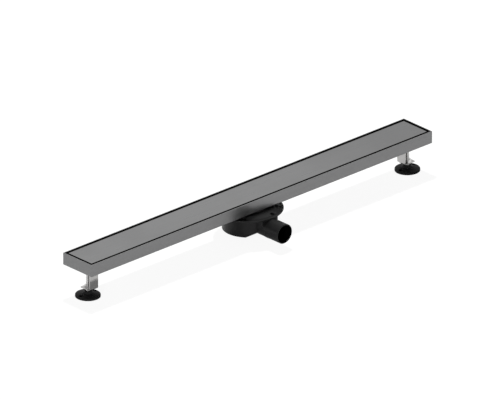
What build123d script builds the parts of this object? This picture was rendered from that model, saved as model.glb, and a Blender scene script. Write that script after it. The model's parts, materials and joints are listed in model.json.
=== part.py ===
from build123d import *

import os
from math import cos, radians, sin, sqrt

# Linear shower drain: a folded steel channel with a flat cover, a low trap under its middle and two feet.
# The origin is on the floor, midway between the feet. +X runs along the channel, the outlet points to -Y.
# All lengths are millimetres, with both feet screwed right in.

# Channel
channel_length = 900.0
channel_width = 80.0
channel_depth = 25.8
sheet = 1.5
fold_radius = 0.6
rim_height = 87.0
drain_hole_margin = 5.5

# Cover and the saddles that carry it
slot_width = 5.5
cover_recess = 0.6
cover_skirt = 10.0
saddle_length = 14.0
saddle_end_distance = 50.0
saddle_middle_distance = 130.0
saddle_clearance = 0.4
saddle_tongue = 4.0
saddle_leg = 11.0
saddle_bridge = 4.5

# Trap housing, hung from the channel's underside
flange_drop = 8.2
lower_flange = 1.5
upper_flange = 1.7
upper_flange_step = 0.6
flange_margin = 10.0
flange_edge = 0.8
trap_wall = 2.0
bowl_radius = 50.0
floor_slant_run = 16.0
floor_slant_angle = 37.0
neck_length = 14.0
outlet_diameter = 40.0
spigot_length = 34.0
outlet_chamfer = 1.0
outlet_stop = 0.4
outlet_stop_margin = 1.0
lid_overhang = 2.0
lid_slope_run = 10.0

# Seals
gasket_thickness = 1.8
gasket_width = 5.0
seal_margin = 1.0
seal_width = 3.0
seal_thickness = 1.2
seal_clearance = 0.1

# Screws round the trap's flange
flange_screw_count = 6
flange_screw_turn = -80.0
flange_screw_margin = 6.0
flange_screw_radius = 2.0
flange_screw_head_width = 1.6
flange_screw_head = 0.8
flange_screw_head_room = 1.1
flange_screw_web = 0.8
flange_screw_socket = 0.5
screw_clearance = 0.2
thread_clearance = 0.05
boss_wall = 2.5
boss_depth = 3.0
boss_floor = 1.0

# Clamp ring and the lift-out siphon
ring_flange_width = 4.5
ring_flange = 2.0
ring_neck_wall = 2.5
ring_neck_depth = 10.0
ring_ledge = 1.5
ring_ledge_step = 1.1
ring_notch_count = 4
ring_notch_width = 6.0
ring_notch_depth = 2.5
siphon_clearance = 0.4
siphon_flange = 6.5
siphon_flange_wall = 3.2
siphon_throat = 4.5
siphon_cone = 6.0
siphon_tube_wall = 2.0
siphon_tube_lift = 8.5
siphon_gap = 6.8
o_ring_section = 2.3
o_ring_side_room = 0.15
o_ring_squeeze_room = 0.05
cup_wall = 1.8
cup_height = 26.0
cup_rib_count = 4
cup_rib_thickness = 2.0
cup_rib_height = 20.0
cup_rib_shoulder = 3.0
strainer_thickness = 1.2
strainer_hole_radius = 2.6
strainer_inner_holes = 6
strainer_outer_holes = 12
strainer_edge = 7.5
strainer_row_gap = 10.0
strainer_knob_radius = 4.0
strainer_knob_height = 5.0
strainer_knob_cap = 1.5

# Brackets
foot_inset = 28.0
bracket_width = 22.0
bracket_sheet = 2.0
bracket_fold_radius = 1.0
bracket_back = 12.0
bracket_front = 14.0
bracket_stud_edge = 6.0
bracket_tab_height = 15.0
weld_stud_radius = 2.5
weld_stud_length = 8.0
fixing_nut_flats = 8.0
fixing_nut_height = 4.0
fixing_gap = 0.9

# Levelling feet
stud_radius = 4.0
stud_top_gap = 2.0
stud_end_chamfer = 0.6
stud_socket_floor = 3.0
lock_nut_flats = 13.0
lock_nut_height = 6.5
pad_radius = 25.0
pad_rim = 4.0
pad_edge_fillet = 1.2
pad_rim_width = 4.0
pad_shoulder_width = 3.0
pad_shoulder_height = 7.5
pad_hub_radius = 7.0
pad_hub_height = 12.0
pad_recess_depth = 1.6
pad_hole_radius = 2.3
pad_hole_edge = 7.0
pad_head_radius = 4.2
pad_head_web = 1.6

# Heights above the floor
channel_bottom = rim_height - channel_depth
channel_floor = channel_bottom + sheet
cover_top = rim_height - cover_recess
skirt_bottom = cover_top - cover_skirt
gasket_bottom = channel_bottom - gasket_thickness
flange_bottom = channel_bottom - flange_drop
flange_joint = flange_bottom + lower_flange
flange_top = flange_joint + upper_flange
head_seat = flange_joint + flange_screw_web
bowl_bottom = flange_bottom - outlet_diameter
bowl_floor = bowl_bottom + trap_wall
outlet_radius = outlet_diameter / 2
outlet_height = bowl_bottom + outlet_radius

# Inside of the channel and the cover
inner_length = channel_length - 2 * sheet
inner_width = channel_width - 2 * sheet
cover_length = inner_length - 2 * slot_width
cover_width = inner_width - 2 * slot_width

# Reach of the trap and the circles on its flange
neck_reach = bowl_radius + neck_length
lid_radius = bowl_radius + lid_overhang
seal_inner_radius = bowl_radius + seal_margin
flange_screw_circle = seal_inner_radius + seal_width + flange_screw_margin
flange_radius = flange_screw_circle + flange_margin
stop_reach = max(neck_reach, flange_radius) + outlet_stop_margin
outlet_reach = stop_reach + spigot_length
flange_screw_head_radius = flange_screw_radius + flange_screw_head_width

# Fits from the drain hole inwards
drain_hole_radius = inner_width / 2 - drain_hole_margin
ring_neck_radius = drain_hole_radius - siphon_clearance
ring_bore_radius = ring_neck_radius - ring_neck_wall
ring_ledge_radius = ring_bore_radius - ring_ledge_step
ring_flange_radius = drain_hole_radius + ring_flange_width
ring_top = channel_floor + ring_flange
ring_bottom = channel_bottom - ring_neck_depth
ledge_height = ring_bottom + ring_ledge
siphon_flange_radius = ring_bore_radius - siphon_clearance
siphon_top = ledge_height + siphon_flange
cup_radius = ring_ledge_radius - siphon_clearance
siphon_tube_radius = cup_radius - cup_wall - siphon_gap
tube_bottom = bowl_floor + siphon_tube_lift

# Brackets and studs
tab_top = bracket_tab_height + bracket_sheet
top_tab_bottom = channel_bottom - bracket_sheet
stud_top = top_tab_bottom - stud_top_gap
fixing_offset = stud_radius + fixing_nut_flats / sqrt(3) + fixing_gap

# Each foot: its side, its axis, its bracket's fixing, the bracket's section plane and the strip's direction
foot_x = channel_length / 2 - foot_inset
left_section = Plane(origin=(-foot_x, 0, 0), x_dir=(0, 1, 0), z_dir=(1, 0, 0))
right_section = Plane(origin=(foot_x, 0, 0), x_dir=(1, 0, 0), z_dir=(0, -1, 0))
feet = (
    ("left", (-foot_x, 0), (-foot_x + fixing_offset, 0), left_section, 1),
    ("right", (foot_x, 0), (foot_x, fixing_offset), right_section, -1),
)


def write(part, name):
    """Labels a finished piece and writes it to its own file."""
    part.label = name
    export_step(part, f"parts/{name}.step")


def ring_section(points):
    """Turns a closed outline of (radius, height) points about the Z axis."""
    with BuildPart() as ring:
        with BuildSketch(Plane.XZ):
            with BuildLine():
                Polyline(*points, close=True)
            make_face()
        revolve(axis=Axis.Z)
    return ring.part


def bowl_form(inset, bowl_top):
    """The trap's bowl and neck, drawn in by a wall's thickness for the hollow inside."""
    slant = radians(floor_slant_angle)
    slant_start = (0, floor_slant_run - bowl_radius + inset * sin(slant), bowl_bottom + inset * cos(slant))
    with BuildPart() as form:
        with BuildSketch(Plane.XY.offset(bowl_bottom + inset)):
            Circle(bowl_radius - inset)
        extrude(amount=bowl_top - bowl_bottom - inset)
        split(bisect_by=Plane(slant_start, z_dir=(0, sin(slant), cos(slant))), keep=Keep.TOP)
        with BuildSketch(Plane.XZ.offset(neck_reach - inset)):
            with Locations((0, outlet_height)):
                Circle(outlet_radius - inset)
            with Locations((0, (outlet_height + flange_bottom) / 2)):
                Rectangle(outlet_diameter - 2 * inset, flange_bottom - outlet_height)
        extrude(amount=inset - neck_reach)
    return form.part


def hex_nut(center, bottom, flats, height, bore_radius):
    """A hexagon nut that stands on the given height."""
    with BuildPart() as nut:
        with BuildSketch(Plane.XY.offset(bottom)):
            with Locations(center):
                RegularPolygon(flats / 2, 6, major_radius=False)
        extrude(amount=height)
        with BuildSketch(Plane.XY.offset(bottom)):
            with Locations(center):
                Circle(bore_radius)
        extrude(amount=height, mode=Mode.SUBTRACT)
    return nut.part


os.makedirs("parts", exist_ok=True)

# Channel: folded trough with its drain hole and the weld studs for the brackets
with BuildPart() as channel:
    with BuildSketch(Plane.XY.offset(channel_bottom)):
        Rectangle(channel_length, channel_width)
    extrude(amount=channel_depth)
    fillet(channel.faces().sort_by(Axis.Z)[0].edges(), fold_radius + sheet)
    offset(amount=-sheet, openings=channel.faces().sort_by(Axis.Z)[-1])
    with BuildSketch(Plane.XY.offset(channel_bottom)):
        Circle(drain_hole_radius)
    extrude(amount=sheet, mode=Mode.SUBTRACT)
    with BuildSketch(Plane.XY.offset(channel_bottom)):
        with Locations(*[fixing for _, _, fixing, _, _ in feet]):
            Circle(weld_stud_radius)
    extrude(amount=-weld_stud_length)
write(channel.part, "channel")

# Cover: a folded pan with its open side down
with BuildPart() as cover_plate:
    with BuildSketch(Plane.XY.offset(skirt_bottom)):
        Rectangle(cover_length, cover_width)
    extrude(amount=cover_skirt)
    fillet(cover_plate.faces().sort_by(Axis.Z)[-1].edges(), fold_radius)
    with BuildSketch(Plane.XY.offset(skirt_bottom)):
        Rectangle(cover_length - 2 * sheet, cover_width - 2 * sheet)
    extrude(amount=cover_skirt - sheet, mode=Mode.SUBTRACT)
write(cover_plate.part, "cover_plate")

# Saddles: bridges across the channel that carry the cover's skirts and let water run through
saddle_height = skirt_bottom - channel_floor
saddle_width = inner_width - 2 * saddle_clearance
saddle_arch_width = saddle_width - 2 * saddle_leg
saddle_arch_height = saddle_height - saddle_bridge
saddle_places = (channel_length / 2 - saddle_end_distance, saddle_middle_distance)
with BuildPart() as cover_spacers:
    for place in saddle_places:
        for end in (-1, 1):
            with BuildSketch(Plane.YZ.offset(end * place - saddle_length / 2)) as saddle:
                with Locations((0, channel_floor + saddle_height / 2)):
                    Rectangle(saddle_width, saddle_height)
                with Locations((0, skirt_bottom + saddle_tongue / 2)):
                    Rectangle(cover_width - 2 * sheet - 2 * saddle_clearance, saddle_tongue)
                fillet(saddle.vertices().group_by(Axis.Y)[0], fold_radius + saddle_clearance)
                with Locations((0, channel_floor + saddle_arch_height / 2)):
                    Rectangle(saddle_arch_width, saddle_arch_height, mode=Mode.SUBTRACT)
            extrude(amount=saddle_length)
write(cover_spacers.part, "cover_spacers")

# Lower half of the trap: flange, bowl, neck and outlet spigot moulded in one
with BuildPart() as trap_bowl:
    with BuildSketch(Plane.XY.offset(flange_bottom)):
        Circle(flange_radius)
    extrude(amount=lower_flange)
    fillet(trap_bowl.edges().sort_by(Axis.Z)[0], flange_edge)
    add(bowl_form(0, flange_bottom))
    with BuildSketch(Plane.XZ.offset(stop_reach)):
        with Locations((0, outlet_height)):
            Circle(outlet_radius + outlet_stop)
    extrude(amount=neck_reach - stop_reach)
    with BuildSketch(Plane.XZ.offset(outlet_reach)):
        with Locations((0, outlet_height)):
            Circle(outlet_radius)
    extrude(amount=neck_reach - outlet_reach)
    chamfer(trap_bowl.faces().sort_by(Axis.Y)[0].edges(), outlet_chamfer)
    add(bowl_form(trap_wall, flange_joint), mode=Mode.SUBTRACT)
    with BuildSketch(Plane.XZ.offset(outlet_reach)):
        with Locations((0, outlet_height)):
            Circle(outlet_radius - trap_wall)
    extrude(amount=neck_reach - trap_wall - outlet_reach, mode=Mode.SUBTRACT)
    with BuildSketch(Plane.XY.offset(flange_bottom)):
        with PolarLocations(flange_screw_circle, flange_screw_count, flange_screw_turn):
            Circle(flange_screw_radius + boss_wall)
    extrude(amount=-boss_depth)
    with BuildSketch(Plane.XY.offset(flange_joint)):
        with PolarLocations(flange_screw_circle, flange_screw_count, flange_screw_turn):
            Circle(flange_screw_radius + thread_clearance)
    extrude(amount=-(lower_flange + boss_depth - boss_floor), mode=Mode.SUBTRACT)
write(trap_bowl.part, "trap_bowl")

# Upper half of the trap: flange and the sloping lid that meets the channel's gasket
with BuildPart() as trap_cover:
    with BuildSketch(Plane.XY.offset(flange_joint)):
        Circle(flange_radius - upper_flange_step)
    extrude(amount=upper_flange)
    fillet(trap_cover.edges().sort_by(Axis.Z)[-1], flange_edge)
    with Locations((0, 0, (flange_top + gasket_bottom) / 2)):
        Cone(lid_radius + lid_slope_run, lid_radius, gasket_bottom - flange_top)
    with BuildSketch(Plane.XY.offset(flange_joint)):
        Circle(ring_neck_radius + thread_clearance)
    extrude(amount=gasket_bottom - flange_joint, mode=Mode.SUBTRACT)
    with BuildSketch(Plane.XY.offset(flange_joint)):
        Circle(seal_inner_radius + seal_width + seal_clearance)
        Circle(seal_inner_radius - seal_clearance, mode=Mode.SUBTRACT)
    extrude(amount=seal_thickness, mode=Mode.SUBTRACT)
    with Locations((0, 0, gasket_bottom)):
        with PolarLocations(flange_screw_circle, flange_screw_count, flange_screw_turn):
            CounterBoreHole(
                flange_screw_radius + screw_clearance,
                flange_screw_head_radius + flange_screw_head_room,
                gasket_bottom - head_seat,
            )
write(trap_cover.part, "trap_cover")

# Screws of the flange, each with a round head and a socket
screw_tip = flange_bottom - boss_depth + boss_floor + screw_clearance
with BuildPart() as flange_screws:
    with BuildSketch(Plane.XY.offset(head_seat)):
        with PolarLocations(flange_screw_circle, flange_screw_count, flange_screw_turn):
            Circle(flange_screw_head_radius)
    extrude(amount=flange_screw_head)
    with BuildSketch(Plane.XY.offset(head_seat)):
        with PolarLocations(flange_screw_circle, flange_screw_count, flange_screw_turn):
            Circle(flange_screw_radius)
    extrude(amount=screw_tip - head_seat)
    with BuildSketch(Plane.XY.offset(head_seat + flange_screw_head)):
        with PolarLocations(flange_screw_circle, flange_screw_count, flange_screw_turn):
            RegularPolygon(flange_screw_radius, 6)
    extrude(amount=-flange_screw_socket, mode=Mode.SUBTRACT)
write(flange_screws.part, "flange_screws")

# Seal between the two halves of the trap
with BuildPart() as housing_seal:
    with BuildSketch(Plane.XY.offset(flange_joint)):
        Circle(seal_inner_radius + seal_width)
        Circle(seal_inner_radius, mode=Mode.SUBTRACT)
    extrude(amount=seal_thickness - seal_clearance)
write(housing_seal.part, "housing_seal")

# Gasket between the channel's underside and the trap's lid
with BuildPart() as inlet_gasket:
    with BuildSketch(Plane.XY.offset(gasket_bottom)):
        Circle(drain_hole_radius + gasket_width)
        Circle(drain_hole_radius, mode=Mode.SUBTRACT)
    extrude(amount=gasket_thickness)
write(inlet_gasket.part, "inlet_gasket")

# Clamp ring: screwed into the trap's lid from inside the channel, with notches for its key
with BuildPart() as clamp_ring:
    add(
        ring_section(
            (
                (ring_bore_radius, ring_top),
                (ring_flange_radius, ring_top),
                (ring_flange_radius, channel_floor),
                (ring_neck_radius, channel_floor),
                (ring_neck_radius, ring_bottom),
                (ring_ledge_radius, ring_bottom),
                (ring_ledge_radius, ledge_height),
                (ring_bore_radius, ledge_height),
            )
        )
    )
    with BuildSketch(Plane.XY.offset(channel_floor)):
        with PolarLocations(ring_flange_radius, ring_notch_count):
            Rectangle(2 * ring_notch_depth, ring_notch_width)
    extrude(amount=ring_flange, mode=Mode.SUBTRACT)
write(clamp_ring.part, "clamp_ring")

# Siphon tube: a funnel that hangs in the clamp ring, with a groove for its O-ring
o_ring_height = (ledge_height + siphon_top) / 2
o_ring_radius = ring_bore_radius - o_ring_squeeze_room - o_ring_section / 2
groove_radius = o_ring_radius - o_ring_section / 2 - o_ring_squeeze_room
groove_half = o_ring_section / 2 + o_ring_side_room
tube_bore = siphon_tube_radius - siphon_tube_wall
funnel_bore = siphon_flange_radius - siphon_flange_wall
funnel_outside = ring_ledge_radius - siphon_clearance
with BuildPart() as siphon_tube:
    add(
        ring_section(
            (
                (tube_bore, tube_bottom),
                (siphon_tube_radius, tube_bottom),
                (siphon_tube_radius, ring_bottom - siphon_cone),
                (funnel_outside, ring_bottom),
                (funnel_outside, ledge_height),
                (siphon_flange_radius, ledge_height),
                (siphon_flange_radius, o_ring_height - groove_half),
                (groove_radius, o_ring_height - groove_half),
                (groove_radius, o_ring_height + groove_half),
                (siphon_flange_radius, o_ring_height + groove_half),
                (siphon_flange_radius, siphon_top),
                (funnel_bore, siphon_top),
                (funnel_bore, siphon_top - siphon_throat),
                (tube_bore, siphon_top - siphon_throat - siphon_cone),
            )
        )
    )
write(siphon_tube.part, "siphon_tube")

# O-ring of the siphon, between its groove and the clamp ring's bore
with BuildPart() as siphon_o_ring:
    with BuildSketch(Plane.XZ):
        with Locations((o_ring_radius, o_ring_height)):
            Circle(o_ring_section / 2)
    revolve(axis=Axis.Z)
write(siphon_o_ring.part, "siphon_o_ring")

# Water cup: stands on the bowl's floor, with ribs that hold the tube
rib_outside = cup_radius - cup_wall / 2
rib_inside = siphon_tube_radius - cup_rib_shoulder
with BuildPart() as siphon_cup:
    with BuildSketch(Plane.XY.offset(bowl_floor)):
        Circle(cup_radius)
    extrude(amount=cup_height)
    with BuildSketch(Plane.XY.offset(bowl_floor + cup_wall)):
        Circle(cup_radius - cup_wall)
    extrude(amount=cup_height - cup_wall, mode=Mode.SUBTRACT)
    with BuildSketch(Plane.XY.offset(bowl_floor + cup_wall / 2)):
        with PolarLocations((rib_outside + rib_inside) / 2, cup_rib_count):
            Rectangle(rib_outside - rib_inside, cup_rib_thickness)
    extrude(amount=cup_rib_height)
    with BuildSketch(Plane.XY.offset(tube_bottom - thread_clearance)):
        Circle(siphon_tube_radius + thread_clearance)
    extrude(amount=cup_rib_height, mode=Mode.SUBTRACT)
write(siphon_cup.part, "siphon_cup")

# Strainer: perforated disc with a pull knob, resting on the siphon
outer_row = siphon_flange_radius - strainer_edge
strainer_top = siphon_top + strainer_thickness
knob_top = strainer_top + strainer_knob_height
with BuildPart() as hair_strainer:
    with BuildSketch(Plane.XY.offset(siphon_top)):
        Circle(siphon_flange_radius)
        with PolarLocations(outer_row, strainer_outer_holes):
            Circle(strainer_hole_radius, mode=Mode.SUBTRACT)
        with PolarLocations(outer_row - strainer_row_gap, strainer_inner_holes):
            Circle(strainer_hole_radius, mode=Mode.SUBTRACT)
    extrude(amount=strainer_thickness)
    with BuildSketch(Plane.XY.offset(strainer_top)):
        Circle(strainer_knob_radius)
    extrude(amount=strainer_knob_height)
    with BuildSketch(Plane.XY.offset(knob_top - strainer_knob_cap)):
        Circle(strainer_knob_radius + strainer_knob_cap)
    extrude(amount=strainer_knob_cap)
    fillet(hair_strainer.faces().sort_by(Axis.Z)[-1].edges(), strainer_knob_cap / 2)
write(hair_strainer.part, "hair_strainer")

for side, axis_point, fixing_point, section_plane, run in feet:
    # Bracket: a strip folded into a C, its upper tab on the weld stud and its lower tab on the levelling stud
    strip_depth = bracket_back + bracket_front
    strip_middle = (bracket_front - bracket_back) / 2
    strip_height = channel_bottom - bracket_tab_height
    half_height = bracket_tab_height + strip_height / 2
    with BuildPart() as bracket:
        with BuildSketch(section_plane.offset(-run * bracket_stud_edge)) as strip:
            with Locations((strip_middle, half_height)):
                Rectangle(strip_depth, strip_height)
            fillet(strip.vertices().group_by(Axis.X)[0], bracket_fold_radius + bracket_sheet)
            with Locations((strip_middle + bracket_sheet, half_height)):
                Rectangle(strip_depth, strip_height - 2 * bracket_sheet, mode=Mode.SUBTRACT)
            inner_corners = strip.vertices().filter_by(
                lambda corner: abs(corner.X - bracket_sheet + bracket_back) < bracket_sheet / 10
            )
            fillet(inner_corners, bracket_fold_radius)
        extrude(amount=run * bracket_width)
        with BuildSketch(Plane.XY.offset(bracket_tab_height)):
            with Locations(axis_point):
                Circle(stud_radius + thread_clearance)
        extrude(amount=bracket_sheet, mode=Mode.SUBTRACT)
        with BuildSketch(Plane.XY.offset(top_tab_bottom)):
            with Locations(fixing_point):
                Circle(weld_stud_radius + screw_clearance)
        extrude(amount=bracket_sheet, mode=Mode.SUBTRACT)
    write(bracket.part, f"bracket_{side}")

    # Nut that holds the bracket on the channel's weld stud
    fixing_nut = hex_nut(
        fixing_point,
        top_tab_bottom - fixing_nut_height,
        fixing_nut_flats,
        fixing_nut_height,
        weld_stud_radius + thread_clearance,
    )
    write(fixing_nut, f"bracket_nut_{side}")

    # Nut that locks the levelling stud on the lower tab
    lock_nut = hex_nut(
        axis_point,
        tab_top,
        lock_nut_flats,
        lock_nut_height,
        stud_radius + thread_clearance,
    )
    write(lock_nut, f"lock_nut_{side}")

    # Levelling stud
    with BuildPart() as foot_stud:
        with BuildSketch(Plane.XY.offset(stud_socket_floor)):
            with Locations(axis_point):
                Circle(stud_radius)
        extrude(amount=stud_top - stud_socket_floor)
        chamfer(foot_stud.faces().sort_by(Axis.Z)[-1].edges(), stud_end_chamfer)
    write(foot_stud.part, f"foot_stud_{side}")

    # Foot: a domed disc with a hub for the stud, a hollow underside and two bossed holes for floor screws
    pad_shoulder_radius = pad_hub_radius + pad_shoulder_width
    pad_hole_offset = pad_radius - pad_hole_edge
    pad_head_depth = pad_shoulder_height - pad_recess_depth - pad_head_web
    with BuildPart() as foot_pad:
        add(
            ring_section(
                (
                    (0, 0),
                    (pad_hub_radius, 0),
                    (pad_hub_radius, pad_recess_depth),
                    (pad_radius - pad_rim_width, pad_recess_depth),
                    (pad_radius - pad_rim_width, 0),
                    (pad_radius, 0),
                    (pad_radius, pad_rim),
                    (pad_shoulder_radius, pad_shoulder_height),
                    (pad_hub_radius, pad_hub_height),
                    (0, pad_hub_height),
                )
            )
        )
        pad_edges = foot_pad.edges().filter_by(GeomType.CIRCLE).group_by(SortBy.RADIUS)[-1]
        fillet(pad_edges.sort_by(Axis.Z)[-1], pad_edge_fillet)
        with BuildSketch(Plane.XY):
            with Locations((-pad_hole_offset, 0), (pad_hole_offset, 0)):
                Circle(pad_head_radius)
        extrude(amount=pad_recess_depth)
        with BuildSketch(Plane.XY.offset(stud_socket_floor)):
            Circle(stud_radius + thread_clearance)
        extrude(amount=pad_hub_height - stud_socket_floor, mode=Mode.SUBTRACT)
        with Locations((-pad_hole_offset, 0, pad_shoulder_height), (pad_hole_offset, 0, pad_shoulder_height)):
            CounterBoreHole(pad_hole_radius, pad_head_radius, pad_head_depth)
    write(foot_pad.part.moved(Location((*axis_point, 0))), f"foot_pad_{side}")
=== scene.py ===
import json
import logging
import math
from collections.abc import Callable, Mapping, Sequence
from dataclasses import dataclass, replace
from enum import Enum
from typing import ClassVar

import bmesh
import bpy
from mathutils import Matrix, Vector

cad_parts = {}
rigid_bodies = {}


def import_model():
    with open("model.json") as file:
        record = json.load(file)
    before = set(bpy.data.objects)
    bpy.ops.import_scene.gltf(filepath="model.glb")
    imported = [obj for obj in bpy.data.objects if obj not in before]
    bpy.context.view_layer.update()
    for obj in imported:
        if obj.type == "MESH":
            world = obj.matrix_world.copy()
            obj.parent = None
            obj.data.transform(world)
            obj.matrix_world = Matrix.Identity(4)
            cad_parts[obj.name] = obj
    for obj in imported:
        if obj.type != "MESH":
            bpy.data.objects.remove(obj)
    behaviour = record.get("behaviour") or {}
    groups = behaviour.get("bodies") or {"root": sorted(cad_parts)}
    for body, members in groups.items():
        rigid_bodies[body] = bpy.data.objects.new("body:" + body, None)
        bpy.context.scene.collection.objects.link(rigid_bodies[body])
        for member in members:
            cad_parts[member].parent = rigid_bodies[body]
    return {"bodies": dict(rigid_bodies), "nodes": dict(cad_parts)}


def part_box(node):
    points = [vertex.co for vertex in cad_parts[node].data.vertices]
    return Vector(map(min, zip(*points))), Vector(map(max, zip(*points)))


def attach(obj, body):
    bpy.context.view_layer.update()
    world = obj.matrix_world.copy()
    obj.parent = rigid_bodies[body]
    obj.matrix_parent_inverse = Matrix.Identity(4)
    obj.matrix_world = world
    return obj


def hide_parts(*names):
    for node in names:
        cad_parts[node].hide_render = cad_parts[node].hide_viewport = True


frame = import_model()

LOG = logging.getLogger("shower_drain")
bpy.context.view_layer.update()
MM = 0.001
BEVEL_SAMPLES = 6

# Short names for the types in the hints.
Triple = tuple[float, float, float]
Labels = Mapping[str, Sequence[str]]
Piece = bpy.types.Object
Material = bpy.types.Material
Tree = bpy.types.NodeTree
Node = bpy.types.Node
Outputs = bpy.types.NodeOutputs
Inputs = bpy.types.NodeInputs
Socket = bpy.types.NodeSocket
Value = Socket | float | Sequence[float]
Feeds = Mapping[str | int, Value]
Law = Callable[[float], float]


class Side(Enum):
    """The two ends of the channel, each with its bracket and foot."""

    LEFT = "left"
    RIGHT = "right"


class Brushing(Enum):
    """Direction in which a surface was brushed: how fast the streaks change along X, Y and Z."""

    ALONG_X = (0.012, 1.0, 1.0)
    ROUND = (1.0, 1.0, 1.0)


def grey(level: float) -> Triple:
    """A colour without hue."""
    return (level, level, level)


def spaced(values: Mapping[str, object]) -> dict[str, object]:
    """Puts spaces for the underscores in names, as sockets have them."""
    return {name.replace("_", " "): value for name, value in values.items()}


def added(name: str, data: bpy.types.ID) -> Piece:
    """Adds an object to the scene.

    Args:
        name: The object's name.
        data: Its mesh, lamp or camera.

    Returns:
        The object, at the origin.
    """
    made = bpy.data.objects.new(name, data)
    bpy.context.scene.collection.objects.link(made)
    return made


class Wiring:
    """A node tree with short calls for its nodes and links."""

    def __init__(self, tree: Tree) -> None:
        """Keeps the tree that the calls work on."""
        self.tree = tree

    def node(self, kind: str, feeds: Feeds | None = None, **settings: object) -> Node:
        """Adds a node.

        Args:
            kind: Blender's name for the node type.
            feeds: What goes into its sockets, by their names or numbers.
            settings: Properties to set on it before its sockets are fed.

        Returns:
            The node.
        """
        made = self.tree.nodes.new(kind)
        for key, value in settings.items():
            setattr(made, key, value)
        for key, value in (feeds or {}).items():
            self.feed(made.inputs[key], value)
        return made

    def result(self, kind: str, feeds: Feeds | None = None, **settings: object) -> Socket:
        """Adds a node as node() does, and gives its first output."""
        return self.node(kind, feeds, **settings).outputs[0]

    def feed(self, socket: Socket, value: Value) -> None:
        """Links a socket into an input, or sets the input to a plain value.

        Args:
            socket: The input.
            value: Another node's output, or a number, vector or colour.
        """
        if isinstance(value, Socket):
            self.tree.links.new(value, socket)
        else:
            socket.default_value = value

    def math(self, operation: str, *values: Value, clamp: bool = False) -> Socket:
        """Adds a Math node, with its result held between 0 and 1 if clamp is set."""
        feeds = dict(enumerate(values))
        return self.result("ShaderNodeMath", feeds, operation=operation, use_clamp=clamp)

    def vector_math(self, operation: str, *values: Value) -> Socket:
        """Adds a Vector Math node, and gives its number for a dot product or a length."""
        made = self.node("ShaderNodeVectorMath", dict(enumerate(values)), operation=operation)
        return made.outputs["Value" if operation in ("DOT_PRODUCT", "LENGTH") else "Vector"]

    def apart(self, vector: Socket) -> Outputs:
        """Splits a vector into its X, Y and Z."""
        return self.node("ShaderNodeSeparateXYZ", {"Vector": vector}).outputs

    def blend(self, share: Value, low: Socket | Triple, high: Socket | Triple) -> Socket:
        """Mixes two colours.

        Args:
            share: How much of the second colour shows.
            low: The colour at 0, as a socket or three numbers.
            high: The colour at 1.

        Returns:
            The mixed colour's socket.
        """
        # The node has one set of sockets for each type of data. Number 6, 7 and 2 are the colours.
        made = self.node("ShaderNodeMix", {0: share}, data_type="RGBA")
        for number, colour in ((6, low), (7, high)):
            self.feed(made.inputs[number], colour if isinstance(colour, Socket) else (*colour, 1.0))
        return made.outputs[2]

    def spread(
        self,
        value: Socket,
        low: float = 0.0,
        high: float = 1.0,
        start: float = 0.0,
        end: float = 1.0,
        curve: str = "LINEAR",
    ) -> Socket:
        """Maps a range of values to another one, and holds them at its ends.

        Args:
            value: The socket to map.
            low: The result at the start.
            high: The result at the end.
            start: The value that gives the low result.
            end: The value that gives the high result.
            curve: Blender's name for the way between them.

        Returns:
            The mapped value's socket.
        """
        feeds = dict(enumerate((value, start, end, low, high)))
        return self.result("ShaderNodeMapRange", feeds, interpolation_type=curve)

    def noise(self, place: Socket, scale: Value, detail: float, roughness: float = 0.5) -> Socket:
        """Adds a noise with some waves per metre, whose values are mostly between 0.3 and 0.7."""
        feeds = {"Vector": place, "Scale": scale, "Detail": detail, "Roughness": roughness}
        return self.node("ShaderNodeTexNoise", feeds).outputs["Fac"]

    def ray_kinds(self) -> tuple[Socket, Socket]:
        """Tells rays apart: a mask for the camera's own, and one for mirrored or refracted ones."""
        path = self.node("ShaderNodeLightPath").outputs
        return path["Is Camera Ray"], self.math("MAXIMUM", path["Is Glossy Ray"], path["Is Transmission Ray"])


def group(name: str, kind: str, inputs: Labels, outputs: Labels) -> tuple[Wiring, Outputs, Inputs]:
    """Starts a node group with named sockets.

    Args:
        name: The group's name.
        kind: ShaderNodeTree or GeometryNodeTree.
        inputs: Names of the inputs under their type, such as Float.
        outputs: Names of the outputs under their type.

    Returns:
        The group's wiring, the sockets that give its inputs and those that take its outputs.
    """
    tree = bpy.data.node_groups.new(name, kind)
    for direction, labels in (("INPUT", inputs), ("OUTPUT", outputs)):
        for data, names in labels.items():
            for label in names:
                tree.interface.new_socket(label, in_out=direction, socket_type=f"NodeSocket{data}")
    wiring = Wiring(tree)
    return wiring, wiring.node("NodeGroupInput").outputs, wiring.node("NodeGroupOutput").inputs


def effect_group(name: str, inputs: Sequence[str], outputs: Sequence[str]) -> tuple[Wiring, Outputs, Inputs]:
    """Starts a shader effect, a group that reads a place and numbers and gives numbers."""
    return group(name, "ShaderNodeTree", {"Vector": ("Place",), "Float": inputs}, {"Float": outputs})


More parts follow.
